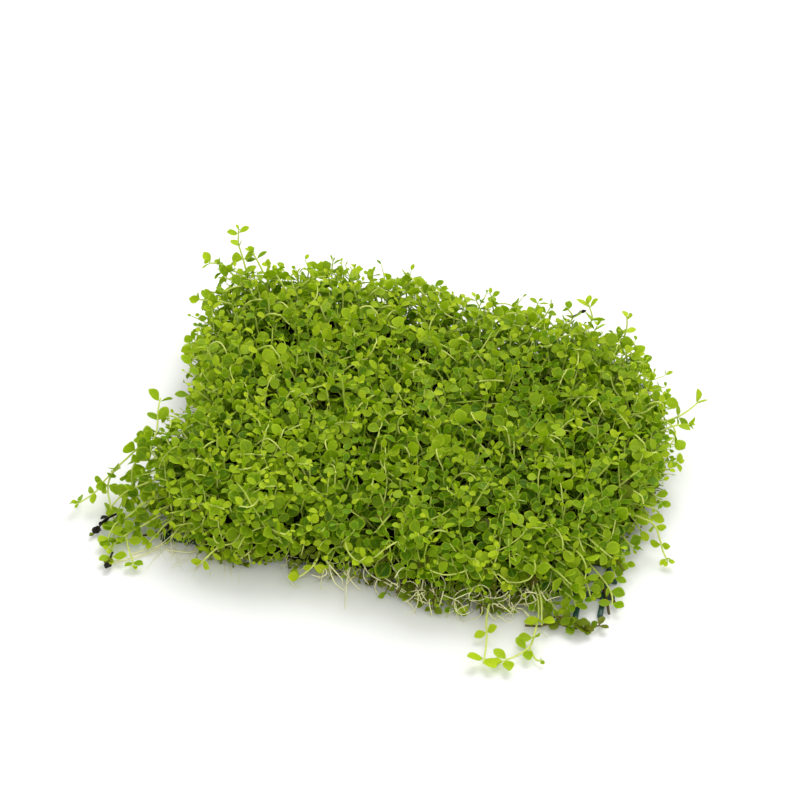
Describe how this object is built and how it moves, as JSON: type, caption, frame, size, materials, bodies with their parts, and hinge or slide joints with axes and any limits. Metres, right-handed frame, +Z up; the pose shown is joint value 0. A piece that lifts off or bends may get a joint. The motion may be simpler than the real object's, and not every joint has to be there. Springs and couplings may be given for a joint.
{
  "type": "round-leaved carpet plant mat on a plastic lattice",
  "caption": "Rectangular mat of low, small round-leaved creeping water plants, rooted on a moulded lattice, with runners straying over its edges.",
  "frame": {"origin": "middle of the lattice's underside, on the surface that the mat rests on", "axes": "+X along the mat's long side, to the right seen from the front; +Y from the front edge to the back; +Z up"},
  "size_m": [0.2255, 0.184, 0.0421],
  "materials": {
    "grid_plastic": "dark blue-green moulded plastic, satin",
    "roots": "cream and tan fine roots and old stems, matt",
    "leaves": "mid green thin round leaves, satin, lit through",
    "shoots": "young yellow-green leaves on pale stems, satin",
    "dead_plant": "brown and blackish dead leaf and stem, dull"
  },
  "bodies": {
    "root": {"support_grid": "grid_plastic", "root_mat": "roots", "tuft_front_1": "leaves", "tuft_front_2": "leaves", "tuft_front_3": "leaves", "tuft_front_4": "leaves", "tuft_middle_1": "leaves", "tuft_middle_2": "leaves", "tuft_middle_3": "leaves", "tuft_middle_4": "leaves", "tuft_back_1": "leaves", "tuft_back_2": "leaves", "tuft_back_3": "leaves", "tuft_back_4": "leaves", "runner_left_long": "shoots", "runner_left_upper": "shoots", "runner_left_hanging": "shoots", "shoot_back_left_tall": "shoots", "shoot_back_right": "shoots", "shoot_right_tall": "shoots", "runner_right_upper": "shoots", "runner_right_front": "shoots", "runner_front_long": "shoots", "runner_front_short": "shoots", "shoot_front_young": "shoots", "runner_front_left": "shoots", "dead_shoot_front": "dead_plant", "dead_leaf_left": "dead_plant"}
  },
  "joints": []
}
